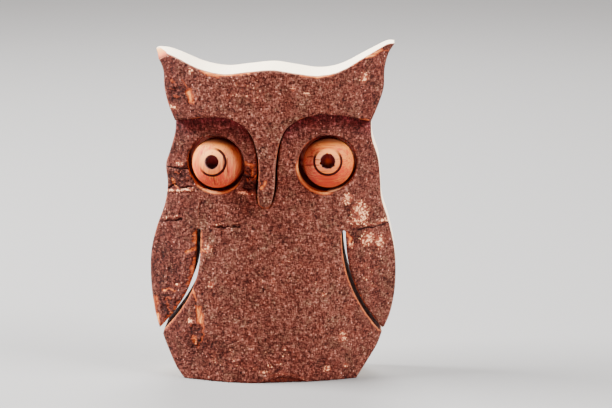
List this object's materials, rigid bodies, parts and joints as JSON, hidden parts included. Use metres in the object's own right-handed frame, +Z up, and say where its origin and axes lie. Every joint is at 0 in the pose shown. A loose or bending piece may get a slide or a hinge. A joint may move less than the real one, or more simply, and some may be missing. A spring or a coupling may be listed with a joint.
{
  "type": "wooden owl figurine",
  "caption": "Owl figurine sawn from a slab of log with the bark left on its front, a raised brow and beak, sawn wings and turned ball eyes in bored sockets.",
  "frame": {"origin": "centre of the bounding box at the height of the underside, where the figurine stands", "axes": "+Z up; the owl faces -Y; +X is to the right as seen from the front"},
  "size_m": [0.1094, 0.0362, 0.1501],
  "materials": {
    "bark_body": "rough reddish-brown bark in front, pale sawn wood on the cut sides and the back",
    "bark_head": "rough reddish-brown bark in front, nearly white sawn wood on top and at the back",
    "ball_left": "turned and sanded pale wood, upright grain",
    "ball_right": "turned and sanded pale wood, level grain"
  },
  "bodies": {
    "root": {"body": "bark_body", "head": "bark_head", "left_eye": "ball_left", "right_eye": "ball_right"}
  },
  "joints": []
}
